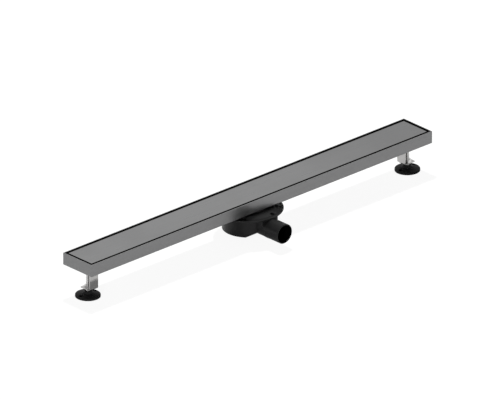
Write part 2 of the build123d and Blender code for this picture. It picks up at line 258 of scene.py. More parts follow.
class Effects:
    """The shader effects that several finishes share, each built once as a node group."""

    def __init__(self) -> None:
        """Builds all the groups."""
        self.streaks = self._streaks()
        self.grain = self._grain()
        self.blotches = self._blotches()
        self.edges = self._edges()
        self.well = self._well()
        self.bore = self._bore()

    @staticmethod
    def _streaks() -> Tree:
        """Fine scratches of a brushed or drawn surface.

        Returns:
            A group with the streaks' tone and height.
        """
        fine_share = 0.6
        wiring, give, take = effect_group("brushed_streaks", ("Fine", "Broad"), ("Tone", "Height"))
        fine = wiring.noise(give["Place"], give["Fine"], detail=3.0, roughness=0.6)
        broad = wiring.noise(give["Place"], give["Broad"], detail=2.0)
        broad_part = wiring.math("MULTIPLY", broad, 1.0 - fine_share)
        both = wiring.math("MULTIPLY_ADD", fine, fine_share, broad_part)
        wiring.feed(take["Tone"], wiring.spread(both, start=0.3, end=0.7))
        wiring.feed(take["Height"], fine)
        return wiring.tree

    @staticmethod
    def _grain() -> Tree:
        """Spark-eroded texture of a mould: small soft pits.

        Returns:
            A group with the grain's tone and height.
        """
        pit_share, contrast = 0.5, 1.4
        wiring, give, take = effect_group("mould_grain", ("Scale",), ("Tone", "Height"))
        feeds = {"Vector": give["Place"], "Scale": give["Scale"]}
        pits = wiring.result("ShaderNodeTexVoronoi", feeds, feature="SMOOTH_F1")
        cloud = wiring.noise(give["Place"], give["Scale"], detail=4.0, roughness=0.65)
        wiring.feed(take["Tone"], wiring.math("MULTIPLY", cloud, contrast, clamp=True))
        wiring.feed(take["Height"], wiring.math("MULTIPLY_ADD", pits, pit_share, cloud))
        return wiring.tree

    @staticmethod
    def _blotches() -> Tree:
        """Broad soft marks from handling, water and dust.

        Returns:
            A group with one mask, mostly near 0.
        """
        wiring, give, take = effect_group("handling_marks", ("Scale",), ("Mask",))
        cloud = wiring.noise(give["Place"], give["Scale"], detail=5.0, roughness=0.55)
        wiring.feed(take["Mask"], wiring.spread(cloud, start=0.42, end=0.72, curve="SMOOTHSTEP"))
        return wiring.tree

    @staticmethod
    def _edges() -> Tree:
        """Worn edges that also carry a painted highlight, broken up by a fine noise.

        Returns:
            A group with one mask, 1 on the edges.
        """
        steepness = 5.0
        wiring, give, take = effect_group("edge_wear_and_highlight", ("Radius", "Breakup"), ("Mask",))
        rounded = wiring.result("ShaderNodeBevel", {"Radius": give["Radius"]}, samples=BEVEL_SAMPLES)
        true_normal = wiring.node("ShaderNodeNewGeometry").outputs["True Normal"]
        facing = wiring.vector_math("DOT_PRODUCT", rounded, true_normal)
        turned = wiring.math("MULTIPLY", wiring.math("SUBTRACT", 1.0, facing), steepness, clamp=True)
        breaks = wiring.noise(give["Place"], give["Breakup"], detail=3.0)
        broken = wiring.spread(breaks, low=0.35, high=1.1)
        wiring.feed(take["Mask"], wiring.math("MULTIPLY", turned, broken, clamp=True))
        return wiring.tree

    @staticmethod
    def _well() -> Tree:
        """The upright well inside a half length and half width round the middle.

        Returns:
            A group with one mask, 1 in the well and above its floor.
        """
        wiring, give, take = effect_group("inside_well", ("Half Length", "Half Width", "Floor"), ("Mask",))
        spot = wiring.apart(give["Place"])
        length = wiring.math("LESS_THAN", wiring.math("ABSOLUTE", spot["X"]), give["Half Length"])
        width = wiring.math("LESS_THAN", wiring.math("ABSOLUTE", spot["Y"]), give["Half Width"])
        height = wiring.math("GREATER_THAN", spot["Z"], give["Floor"])
        wiring.feed(take["Mask"], wiring.math("MULTIPLY", wiring.math("MULTIPLY", length, width), height))
        return wiring.tree

    @staticmethod
    def _bore() -> Tree:
        """The inside of a level bore along Y.

        Returns:
            A group with one mask, 1 in the bore.
        """
        wiring, give, take = effect_group("inside_bore", ("Radius", "Height", "Start"), ("Mask",))
        spot = wiring.apart(give["Place"])
        rise = wiring.math("SUBTRACT", spot["Z"], give["Height"])
        section = wiring.result("ShaderNodeCombineXYZ", {"X": spot["X"], "Z": rise})
        near = wiring.math("LESS_THAN", wiring.vector_math("LENGTH", section), give["Radius"])
        along = wiring.math("LESS_THAN", spot["Y"], give["Start"])
        wiring.feed(take["Mask"], wiring.math("MULTIPLY", near, along))
        return wiring.tree


@dataclass(frozen=True)
class Detail:
    """Sizes of a finish's fine detail.

    Attributes:
        marks: Handling marks per metre.
        depth: Depth of the relief, in metres.
        strength: How much of the relief shows.
        corner: Radius to which sharp corners look broken, in metres.
        wear_and_highlight: Width of the worn edges with their painted highlight, in metres.
        breakup: Breaks in the worn, highlighted edges per metre.
        fine: Waves of the fine pattern per metre.
        broad: Waves or crystals of the broad pattern per metre.
        handled: How much duller the handling marks are.
    """

    marks: float
    depth: float
    strength: float
    corner: float
    wear_and_highlight: float = 0.0
    breakup: float = 0.0
    fine: float = 0.0
    broad: float = 0.0
    handled: float = 0.0


class Surface:
    """A new material with its Principled shader, Object coordinates and handling marks."""

    def __init__(self, name: str, effects: Effects, detail: Detail) -> None:
        """Starts the material.

        Args:
            name: The material's name.
            effects: The shared node groups.
            detail: Sizes of the finish's fine detail.
        """
        self.material = bpy.data.materials.new(name)
        self.material.use_nodes = True
        self.effects = effects
        self.detail = detail
        self.wiring = Wiring(self.material.node_tree)
        self.shader = self.material.node_tree.nodes["Principled BSDF"]
        self.place = self.wiring.node("ShaderNodeTexCoord").outputs["Object"]
        self.marks = self.effect(effects.blotches, self.place, Scale=detail.marks)["Mask"]

    def effect(self, tree: Tree, place: Socket, **values: float) -> Outputs:
        """Places one of the shared effects.

        Args:
            tree: The effect's node group.
            place: The vector that it reads.
            values: Its other inputs, with underscores for the spaces in their names.

        Returns:
            The effect's outputs.
        """
        feeds = {"Place": place, **spaced(values)}
        return self.wiring.node("ShaderNodeGroup", feeds, node_tree=tree).outputs

    def set(self, **values: Value) -> None:
        """Feeds the shader's sockets, with underscores for the spaces in their names."""
        for label, value in spaced(values).items():
            self.wiring.feed(self.shader.inputs[label], value)

    def edged(self, tone: Socket, edge: Triple) -> Socket:
        """Shows a paler colour on the edges, for wear and as a painted highlight.

        Args:
            tone: The surface's own colour.
            edge: The edges' colour.

        Returns:
            The mixed colour's socket.
        """
        sizes = {"Radius": self.detail.wear_and_highlight, "Breakup": self.detail.breakup}
        # Wear and painted highlight: the edges' paler colour stands partly for light catching them.
        wear_and_highlight_mask = self.effect(self.effects.edges, self.place, **sizes)["Mask"]
        return self.wiring.blend(wear_and_highlight_mask, tone, edge)

    def bump(self, height: Socket) -> None:
        """Gives the surface its fine relief and slightly broken corners.

        Args:
            height: The relief's height, values near 0..1.
        """
        wiring, detail = self.wiring, self.detail
        rounded = wiring.result("ShaderNodeBevel", {"Radius": detail.corner}, samples=BEVEL_SAMPLES)
        sizes = {"Strength": detail.strength, "Distance": detail.depth}
        relief = wiring.result("ShaderNodeBump", {**sizes, "Height": height, "Normal": rounded})
        self.set(Normal=relief)


@dataclass(frozen=True)
class PaintedSlotShade:
    """Painted shade: a near-black colour on the faces of the water slot, standing for the shadow down in the
    slot.

    Attributes:
        half_length: Half the length of the well that it shades or surrounds, in metres.
        half_width: Half the width of that well.
        floor: Height above which the well counts.
        outside: Whether the painted shade lies outside the well, on a skirt, and not inside it.
        colour: The painted shade's colour.
        roughness: Its roughness.
        specular: Strength of its clear reflection.
    """

    half_length: float
    half_width: float
    floor: float
    outside: bool = False
    colour: Triple = grey(0.004)
    roughness: float = 0.6
    specular: float = 0.1

    def mask(self, surface: Surface) -> Socket:
        """Finds the faces that get the painted shade.

        Args:
            surface: The material that they belong to.

        Returns:
            A mask's socket, 1 on the painted shade.
        """
        sizes = {"Half_Length": self.half_length, "Half_Width": self.half_width, "Floor": self.floor}
        inside = surface.effect(surface.effects.well, surface.place, **sizes)["Mask"]
        return surface.wiring.math("SUBTRACT", 1.0, inside) if self.outside else inside


@dataclass(frozen=True)
class PaintedBoreShade:
    """Painted shade inside a pipe along Y: a near-black colour without a clear reflection, standing for the
    shadow in the pipe.

    Attributes:
        radius: Radius inside which the surface counts, in metres.
        height: Height of the pipe's axis.
        start: The Y at which the pipe starts; it runs on towards -Y.
        colour: The painted shade's colour.
        rougher: How much rougher it is than the outside.
    """

    radius: float
    height: float
    start: float
    colour: Triple = grey(0.0005)
    rougher: float = 0.4

    def mask(self, surface: Surface) -> Socket:
        """Finds the pipe's inside.

        Args:
            surface: The material that it belongs to.

        Returns:
            A mask's socket, 1 in the pipe.
        """
        sizes = {"Radius": self.radius, "Height": self.height, "Start": self.start}
        return surface.effect(surface.effects.bore, surface.place, **sizes)["Mask"]


@dataclass(frozen=True)
class Finish:
    """What every finish has.

    Attributes:
        DETAIL: Sizes of the fine detail, for each kind of finish.
        name: The material's name.
        colour: The main colour.
        second: The colour of the ridges, patches or clouds on it.
        roughness: Roughness of the smoothest places.
        swing: How much rougher the dullest places are.
    """

    DETAIL: ClassVar[Detail]

    name: str
    colour: Triple
    second: Triple
    roughness: float
    swing: float

    def material(self, effects: Effects) -> Material:
        """Builds the material.

        Args:
            effects: The shared node groups.

        Returns:
            The material.
        """
        surface = Surface(self.name, effects, self.DETAIL)
        self.lay(surface)
        return surface.material

    def lay(self, surface: Surface) -> None:
        """Lays the finish on a new surface, for each kind of finish in its own way."""
        raise NotImplementedError

    def dull(self, surface: Surface, pattern: Socket) -> Socket:
        """The roughness that follows a pattern."""
        return surface.wiring.spread(pattern, self.roughness, self.roughness + self.swing)


@dataclass(frozen=True)
class BrushedSteel(Finish):
    """Stainless sheet with a brushed finish.

    Attributes:
        edge: Colour of the worn edges, paler also as a painted highlight.
        brushing: Direction of the streaks.
        painted_shade: Where the surface gets a near-black painted shade, or None.
    """

    DETAIL = Detail(
        marks=9.0,
        depth=0.02 * MM,
        strength=0.25,
        corner=0.25 * MM,
        wear_and_highlight=0.5 * MM,
        breakup=160.0,
        fine=2600.0,
        broad=240.0,
        handled=0.05,
    )

    edge: Triple
    brushing: Brushing
    painted_shade: PaintedSlotShade | None = None

    def lay(self, surface: Surface) -> None:
        """Lays the streaks, the worn edges with their painted highlight, and the painted shade of the slot.

        Args:
            surface: The new material.
        """
        wiring, detail = surface.wiring, self.DETAIL
        drawn = wiring.vector_math("MULTIPLY", surface.place, self.brushing.value)
        streaks = surface.effect(surface.effects.streaks, drawn, Fine=detail.fine, Broad=detail.broad)
        tone = surface.edged(wiring.blend(streaks["Tone"], self.colour, self.second), self.edge)
        dull = self.dull(surface, streaks["Tone"])
        dull = wiring.math("MULTIPLY_ADD", surface.marks, detail.handled, dull, clamp=True)
        # Painted shade: the slot's faces, which lie in shadow, get a near-black, non-metal colour.
        if self.painted_shade:
            in_painted_shade = self.painted_shade.mask(surface)
            tone = wiring.blend(in_painted_shade, tone, self.painted_shade.colour)
            dull = wiring.math("MAXIMUM", dull, wiring.math("MULTIPLY", in_painted_shade, self.painted_shade.roughness))
            bare = wiring.math("SUBTRACT", 1.0, in_painted_shade)
            surface.set(Metallic=bare, Specular_IOR_Level=self.painted_shade.specular)
        else:
            surface.set(Metallic=1.0)
        surface.set(Base_Color=tone, Roughness=dull)
        surface.bump(streaks["Height"])


@dataclass(frozen=True)
class PlatedSteel(Finish):
    """Zinc-plated or blackened steel with a fine crystalline bloom.

    Attributes:
        FACETS: How strongly the crystals differ.
        edge: Colour of the rubbed edges, paler also as a painted highlight.
    """

    DETAIL = Detail(
        marks=70.0,
        depth=0.02 * MM,
        strength=0.2,
        corner=0.3 * MM,
        wear_and_highlight=0.4 * MM,
        breakup=500.0,
        fine=1800.0,
        broad=420.0,
    )
    FACETS: ClassVar[float] = 0.3

    edge: Triple

    def lay(self, surface: Surface) -> None:
        """Lays the crystals, their bloom and the rubbed edges with their painted highlight.

        Args:
            surface: The new material.
        """
        wiring, detail = surface.wiring, self.DETAIL
        feeds = {"Vector": surface.place, "Scale": detail.broad}
        crystals = wiring.node("ShaderNodeTexVoronoi", feeds).outputs["Color"]
        facet = wiring.node("ShaderNodeSeparateColor", {"Color": crystals}).outputs["Red"]
        share = wiring.math("MULTIPLY_ADD", facet, self.FACETS, surface.marks, clamp=True)
        tone = surface.edged(wiring.blend(share, self.colour, self.second), self.edge)
        surface.set(Base_Color=tone, Roughness=self.dull(surface, share), Metallic=1.0)
        surface.bump(wiring.noise(surface.place, detail.fine, detail=3.0))


@dataclass(frozen=True)
class MouldedPlastic(Finish):
    """Injection-moulded plastic with a fine grain and slightly paler edges, from wear and a painted
    highlight.

    Attributes:
        edge: Colour of the edges.
        grain: Pits per metre.
        specular: Strength of the clear reflection.
        painted_shade: Where painted shade makes the surface darker and duller, or None.
    """

    DETAIL = Detail(
        marks=28.0,
        depth=0.06 * MM,
        strength=0.35,
        corner=0.35 * MM,
        wear_and_highlight=0.7 * MM,
        breakup=300.0,
        handled=0.06,
    )

    edge: Triple
    grain: float
    specular: float
    painted_shade: PaintedBoreShade | None = None

    def lay(self, surface: Surface) -> None:
        """Lays the grain, the pale clouds, the worn edges with their painted highlight, and the painted shade
        in the bore.

        Args:
            surface: The new material.
        """
        wiring, shine = surface.wiring, self.specular
        grain = surface.effect(surface.effects.grain, surface.place, Scale=self.grain)
        tone = surface.edged(wiring.blend(surface.marks, self.colour, self.second), self.edge)
        dull = self.dull(surface, grain["Tone"])
        dull = wiring.math("MULTIPLY_ADD", surface.marks, self.DETAIL.handled, dull)
        # Painted shade: the outlet's inside, which lies in shadow, gets a near-black colour and loses its
        # clear reflection.
        if self.painted_shade:
            in_painted_shade = self.painted_shade.mask(surface)
            tone = wiring.blend(in_painted_shade, tone, self.painted_shade.colour)
            dull = wiring.math("MULTIPLY_ADD", in_painted_shade, self.painted_shade.rougher, dull, clamp=True)
            shine = wiring.spread(in_painted_shade, self.specular, 0.0)
        surface.set(Base_Color=tone, Roughness=dull, Specular_IOR_Level=shine)
        surface.bump(grain["Height"])


@dataclass(frozen=True)
class SealRubber(Finish):
    """Soft black rubber with a faint pale bloom.

    Attributes:
        specular: Strength of the clear reflection.
    """

    DETAIL = Detail(marks=90.0, depth=0.03 * MM, strength=0.3, corner=0.3 * MM, fine=2200.0)

    specular: float

    def lay(self, surface: Surface) -> None:
        """Lays the grain and the bloom.

        Args:
            surface: The new material.
        """
        grain = surface.effect(surface.effects.grain, surface.place, Scale=self.DETAIL.fine)
        tone = surface.wiring.blend(surface.marks, self.colour, self.second)
        dull = self.dull(surface, grain["Tone"])
        surface.set(Base_Color=tone, Roughness=dull, Specular_IOR_Level=self.specular)
        surface.bump(grain["Height"])


SHEET_STEEL = BrushedSteel(
    "sheet_steel",
    (0.160, 0.161, 0.162),
    (0.191, 0.191, 0.192),
    roughness=0.26,
    swing=0.08,
    edge=grey(0.21),
    brushing=Brushing.ALONG_X,
)
STRAINER_STEEL = BrushedSteel(
    "strainer_steel",
    grey(0.40),
    grey(0.50),
    roughness=0.28,
    swing=0.10,
    edge=grey(0.6),
    brushing=Brushing.ROUND,
)
BRIGHT_ZINC = PlatedSteel(
    "bright_zinc",
    (0.54, 0.535, 0.53),
    (0.48, 0.475, 0.47),
    roughness=0.05,
    swing=0.05,
    edge=(0.62, 0.615, 0.61),
)
BRACKET_ZINC = PlatedSteel(
    "bracket_zinc",
    (0.36, 0.355, 0.35),
    (0.32, 0.315, 0.31),
    roughness=0.06,
    swing=0.05,
    edge=(0.56, 0.555, 0.55),
)
SCREW_BLACK = PlatedSteel(
    "screw_steel", grey(0.012), grey(0.008), roughness=0.40, swing=0.16, edge=grey(0.03)
)
TRAP_PLASTIC = MouldedPlastic(
    "trap_plastic",
    (0.0045, 0.0045, 0.0046),
    (0.0065, 0.0065, 0.0066),
    roughness=0.30,
    swing=0.10,
    edge=grey(0.012),
    grain=1500.0,
    specular=0.15,
)
LID_PLASTIC = replace(TRAP_PLASTIC, name="trap_cover_plastic", roughness=0.22, specular=0.25)
SIPHON_PLASTIC = MouldedPlastic(
    "siphon_plastic",
    (0.030, 0.030, 0.031),
    (0.038, 0.038, 0.039),
    roughness=0.38,
    swing=0.16,
    edge=grey(0.05),
    grain=1500.0,
    specular=0.35,
)
FOOT_PLASTIC = MouldedPlastic(
    "foot_plastic",
    (0.005, 0.005, 0.0052),
    (0.007, 0.007, 0.0072),
    roughness=0.40,
    swing=0.14,
    edge=grey(0.010),
    grain=1800.0,
    specular=0.06,
)
SEAL_RUBBER = SealRubber("seal_rubber", grey(0.010), grey(0.020), roughness=0.62, swing=0.12, specular=0.3)


class Finishes:
    """Makes each finish's material once and hands it out."""

    def __init__(self) -> None:
        """Builds the shared effects."""
        self.effects = Effects()
        self.made: dict[str, Material] = {}

    def of(self, finish: Finish) -> Material:
        """Finds or builds a finish's material.

        Args:
            finish: The finish.

        Returns:
            Its material.
        """
        if finish.name not in self.made:
            self.made[finish.name] = finish.material(self.effects)
        return self.made[finish.name]

    def dress(self, node: str, finish: Finish) -> None:
        """Gives a CAD node its finish.

        Args:
            node: The node's name.
            finish: The finish.
        """
        piece = frame["nodes"][node]
        if not piece.material_slots:
            piece.data.materials.append(None)
        for slot in piece.material_slots:
            slot.material = self.of(finish)
        LOG.info("dressed %s in %s", node, finish.name)


def place_piece(piece: Piece, body: str, slot: str, *nodes: str) -> None:
    """Lets a finished piece ride on its body and stand for its CAD nodes.

    Args:
        piece: The piece, at the origin with its place in its mesh.
        body: The body that it moves with.
        slot: The record's material slot; not used.
        nodes: The CAD nodes that it stands for.
    """
    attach(piece, body)
    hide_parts(*nodes)
    LOG.info("built %s with %d faces", piece.name, len(piece.data.polygons))


def grown(name: str, tree: Tree, **values: object) -> Piece:
    """Runs a Geometry Nodes tree and keeps the result as a plain mesh.

    Args:
        name: The new piece's name.
        tree: The tree.
        values: The tree's inputs, with underscores for the spaces in their names.

    Returns:
        The piece, with no modifier left on it.
    """
    piece = added(name, bpy.data.meshes.new(name))
    modifier = piece.modifiers.new("growth", "NODES")
    modifier.node_group = tree
    sockets = {item.name: item.identifier for item in tree.interface.items_tree if item.in_out == "INPUT"}
    for label, value in spaced(values).items():
        modifier[sockets[label]] = value
    depsgraph = bpy.context.evaluated_depsgraph_get()
    mesh = bpy.data.meshes.new_from_object(piece.evaluated_get(depsgraph))
    piece.modifiers.remove(modifier)
    piece.data = mesh
    return piece


def growth_group(name: str, inputs: Labels) -> tuple[Wiring, Outputs, Inputs]:
    """Starts a Geometry Nodes tree that gives a geometry in a finish."""
    labels = {**inputs, "Material": ("Finish",)}
    return group(name, "GeometryNodeTree", labels, {"Geometry": ("Geometry",)})


def finish_tree(wiring: Wiring, give: Outputs, take: Inputs, shape: Socket) -> Tree:
    """Ends a Geometry Nodes tree in Realize Instances and Set Material.

    Args:
        wiring: The tree's wiring.
        give: The sockets that give its inputs.
        take: The sockets that take its outputs.
        shape: The geometry's socket.

    Returns:
        The tree.
    """
    real = wiring.result("GeometryNodeRealizeInstances", {"Geometry": shape})
    feeds = {"Geometry": real, "Material": give["Finish"]}
    wiring.feed(take["Geometry"], wiring.result("GeometryNodeSetMaterial", feeds))
    return wiring.tree


def threaded_rod_tree() -> Tree:
    """A rod with a helical thread: a fine cylinder whose radius follows the thread's wave.

    Returns:
        The Geometry Nodes tree.
    """
    wiring, size, take = growth_group(
        "threaded_rod",
        {
            "Vector": ("Base",),
            "Float": ("Radius", "Length", "Pitch", "Depth", "Chamfer"),
            "Int": ("Segments", "Rows"),
        },
    )
    sizes = {
        "Vertices": size["Segments"],
        "Side Segments": size["Rows"],
        "Radius": size["Radius"],
        "Depth": size["Length"],
    }
    rod = wiring.result("GeometryNodeMeshCylinder", sizes, fill_type="TRIANGLE_FAN")
    spot = wiring.apart(wiring.result("GeometryNodeInputPosition"))
    across, along, up = spot["X"], spot["Y"], spot["Z"]
    turn = wiring.math("DIVIDE", wiring.math("ARCTAN2", along, across), math.tau)
    phase = wiring.math("SUBTRACT", wiring.math("DIVIDE", up, size["Pitch"]), turn)
    wave = wiring.math("MULTIPLY", wiring.math("PINGPONG", phase, 0.5), 2.0)
    flank = wiring.math("SUBTRACT", size["Radius"], wiring.math("MULTIPLY", wave, size["Depth"]))
    half = wiring.math("MULTIPLY", size["Length"], 0.5)
    to_end = wiring.math("SUBTRACT", half, wiring.math("ABSOLUTE", up))
    tip = wiring.math("ADD", wiring.math("SUBTRACT", size["Radius"], size["Chamfer"]), to_end)
    share = wiring.math("DIVIDE", wiring.math("MINIMUM", flank, tip), size["Radius"])
    place = {
        "X": wiring.math("MULTIPLY", across, share),
        "Y": wiring.math("MULTIPLY", along, share),
        "Z": wiring.math("ADD", up, half),
    }
    moved = wiring.vector_math("ADD", wiring.result("ShaderNodeCombineXYZ", place), size["Base"])
    shaped = wiring.result("GeometryNodeSetPosition", {"Geometry": rod, "Position": moved})
    smooth = wiring.result("GeometryNodeSetShadeSmooth", {"Geometry": shaped})
    return finish_tree(wiring, size, take, smooth)


def screw_ring_tree() -> Tree:
    """Socket-head screws at equal steps round a circle.

    Returns:
        The Geometry Nodes tree.
    """
    head_points, socket_sides, shank_points = 32, 6, 20
    heads = ("Head Radius", "Crown Radius", "Head")
    shanks = ("Shank Radius", "Shank", "Socket Radius", "Socket")
    wiring, size, take = growth_group(
        "screw_ring",
        {"Int": ("Count",), "Vector": ("Turn", "Seat"), "Float": ("Circle", *heads, *shanks)},
    )

    def raised(mesh: Socket, height: Socket) -> Socket:
        """Lifts a mesh by a height."""
        lift = wiring.result("ShaderNodeCombineXYZ", {"Z": height})
        return wiring.result("GeometryNodeTransform", {"Geometry": mesh, "Translation": lift})

    def rod(points: int, radius: Socket, depth: Socket) -> Socket:
        """A prism or cylinder round the origin."""
        sizes = {"Vertices": points, "Radius": radius, "Depth": depth}
        return wiring.result("GeometryNodeMeshCylinder", sizes)

    circle = {"Vertices": size["Count"], "Radius": size["Circle"]}
    ring = {
        "Geometry": wiring.result("GeometryNodeMeshCircle", circle),
        "Translation": size["Seat"],
        "Rotation": size["Turn"],
    }
    cone = {
        "Vertices": head_points,
        "Radius Top": size["Crown Radius"],
        "Radius Bottom": size["Head Radius"],
        "Depth": size["Head"],
    }
    socket = rod(socket_sides, size["Socket Radius"], wiring.math("MULTIPLY", size["Socket"], 2.0))
    parts = {
        "Mesh 1": wiring.result("GeometryNodeMeshCone", cone),
        "Mesh 2": raised(socket, size["Head"]),
    }
    head = wiring.result("GeometryNodeMeshBoolean", parts, operation="DIFFERENCE")
    shank = rod(shank_points, size["Shank Radius"], size["Shank"])
    screw = wiring.node("GeometryNodeJoinGeometry", {"Geometry": head})
    wiring.feed(screw.inputs["Geometry"], raised(shank, wiring.math("MULTIPLY", size["Shank"], -0.5)))
    places = {"Points": wiring.result("GeometryNodeTransform", ring), "Instance": screw.outputs["Geometry"]}
    return finish_tree(wiring, size, take, wiring.result("GeometryNodeInstanceOnPoints", places))


def ring_mesh(name: str, rings: Sequence[Sequence[Vector]], material: Material) -> Piece:
    """Joins rings of points into a closed piece with a hole through it.

    Args:
        name: The piece's name.
        rings: Rings of equal length, in order round the section.
        material: The piece's material.

    Returns:
        The piece.
    """
    shape = bmesh.new()
    loops = [[shape.verts.new(point) for point in ring] for ring in rings]
    for ring, other in zip(loops, loops[1:] + loops[:1]):
        for index, corner in enumerate(ring):
            after = (index + 1) % len(ring)
            shape.faces.new((corner, ring[after], other[after], other[index]))
    bmesh.ops.recalc_face_normals(shape, faces=shape.faces)
    mesh = bpy.data.meshes.new(name)
    shape.to_mesh(mesh)
    shape.free()
    mesh.materials.append(material)
    return added(name, mesh)


@dataclass
class HexNut:
    """A chamfered hexagon nut.

    Attributes:
        node: The CAD node that it stands for.
        flats: Width across the flats, in metres.
        bore: Radius of the hole.
        chamfer: Slope of the chamfered corners.
        lead: Size of the chamfer at the hole's ends.
        steps: Points round the nut.
    """

    node: str
    flats: float
    bore: float
    chamfer: float = 0.5
    lead: float = 0.35 * MM
    steps: int = 96

    def build(self, finishes: Finishes) -> Piece:
        """Builds the nut over its CAD node.

        Args:
            finishes: The materials.

        Returns:
            The piece.
        """
        low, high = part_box(self.node)
        middle = (low + high) / 2
        face = self.flats / 2
        turns = [math.tau * step / self.steps for step in range(self.steps)]

        def ring(radius: Law, rise: Law, base: float, way: int) -> list[Vector]:
            """A ring whose radius follows the angle and whose rise from its base follows the radius."""
            spots = [(radius(turn), math.cos(turn), math.sin(turn)) for turn in turns]
            return [
                Vector((middle.x + reach * x, middle.y + reach * y, base + way * rise(reach)))
                for reach, x, y in spots
            ]

        def hexagon(turn: float) -> float:
            """The hexagon's outline, with its corners on the X axis as in the CAD node."""
            sixth = math.tau / 6
            return face / math.cos((turn % sixth) - sixth / 2)

        def cut(radius: float) -> float:
            """How far the chamfer takes off a corner."""
            return max(0.0, radius - face) * self.chamfer

        profile = (
            (lambda turn: self.bore, lambda reach: self.lead),
            (lambda turn: self.bore + self.lead, lambda reach: 0.0),
            (lambda turn: face, lambda reach: 0.0),
            (hexagon, cut),
        )
        rings = [ring(*laws, low.z, 1) for laws in profile]
        rings += [ring(*laws, high.z, -1) for laws in reversed(profile)]
        return ring_mesh(f"{self.node}_hex", rings, finishes.of(BRIGHT_ZINC))


@dataclass
class ChannelAndCover:
    """The steel channel with its cover, and the saddles hidden under the cover.

    Attributes:
        sheet: Thickness of the sheet, in metres.
        depth: Height of the channel's walls.
        shade_inset: How far into the channel's walls the painted shade reaches.
        turn: Part of the cover's folded edge that gets the painted shade with its skirt.
    """

    sheet: float = 1.5 * MM
    depth: float = 25.8 * MM
    shade_inset: float = 0.05 * MM
    turn: float = 0.45 * MM

    def dress(self, finishes: Finishes) -> None:
        """Gives the CAD nodes their finishes.

        Args:
            finishes: The materials.
        """
        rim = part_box("channel")[1]
        wall = self.sheet - self.shade_inset
        # Painted shade on the slot's inner faces and the cover's skirt, which lie in shadow down the slot.
        inside = PaintedSlotShade(rim.x - wall, rim.y - wall, rim.z - self.depth + self.sheet / 2)
        finishes.dress("channel", replace(SHEET_STEEL, name="brushed_channel", painted_shade=inside))
        low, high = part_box("cover_plate")
        skirt = PaintedSlotShade(high.x - self.turn, high.y - self.turn, low.z - self.sheet, outside=True)
        finishes.dress("cover_plate", replace(SHEET_STEEL, name="brushed_cover", painted_shade=skirt))
        finishes.dress("cover_spacers", TRAP_PLASTIC)


@dataclass
class Trap:
    """The trap housing with its screws and seals, and the siphon inside.

    Attributes:
        count: Number of flange screws.
        circle: Radius of the screws' circle, in metres.
        turn: Angle of the first screw, in degrees.
        head: Height of a screw's head.
        head_radius: Radius of a screw's head.
        crown: Share of that radius at the head's top.
        shank_radius: Radius of a screw's shank, and of the socket in its head.
        socket: Share of the head's height that the socket takes.
        outlet_bore: Radius just outside the outlet's inner wall.
        outlet_height: Height of the outlet's axis.
        outlet_start: The Y at which the outlet leaves the bowl.
    """

    count: int = 6
    circle: float = 60 * MM
    turn: float = -80.0
    head: float = 0.8 * MM
    head_radius: float = 3.6 * MM
    crown: float = 0.86
    shank_radius: float = 2.0 * MM
    socket: float = 0.7
    outlet_bore: float = 18.2 * MM
    outlet_height: float = 33 * MM
    outlet_start: float = -50 * MM

    def build(self, finishes: Finishes) -> None:
        """Builds the screws over their CAD node.

        Args:
            finishes: The materials.
        """
        low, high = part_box("flange_screws")
        seat = high.z - self.head
        screws = grown(
            "flange_screw_set",
            screw_ring_tree(),
            Count=self.count,
            Circle=self.circle,
            Turn=(0.0, 0.0, math.radians(self.turn)),
            Seat=(0.0, 0.0, seat),
            Head_Radius=self.head_radius,
            Crown_Radius=self.head_radius * self.crown,
            Head=self.head,
            Shank_Radius=self.shank_radius,
            Shank=seat - low.z,
            Socket_Radius=self.shank_radius,
            Socket=self.head * self.socket,
            Finish=finishes.of(SCREW_BLACK),
        )
        place_piece(screws, "drain", "screw_steel", "flange_screws")

    def dress(self, finishes: Finishes) -> None:
        """Gives the CAD nodes their finishes.

        Args:
            finishes: The materials.
        """
        # Painted shade inside the outlet, standing for the shadow in the pipe.
        bore = PaintedBoreShade(self.outlet_bore, self.outlet_height, self.outlet_start)
        finishes.dress("trap_bowl", replace(TRAP_PLASTIC, name="trap_bowl_plastic", painted_shade=bore))
        finishes.dress("trap_cover", LID_PLASTIC)
        finishes.dress("clamp_ring", TRAP_PLASTIC)
        for node in ("siphon_tube", "siphon_cup"):
            finishes.dress(node, SIPHON_PLASTIC)
        for node in ("housing_seal", "inlet_gasket", "siphon_o_ring"):
            finishes.dress(node, SEAL_RUBBER)
        finishes.dress("hair_strainer", STRAINER_STEEL)


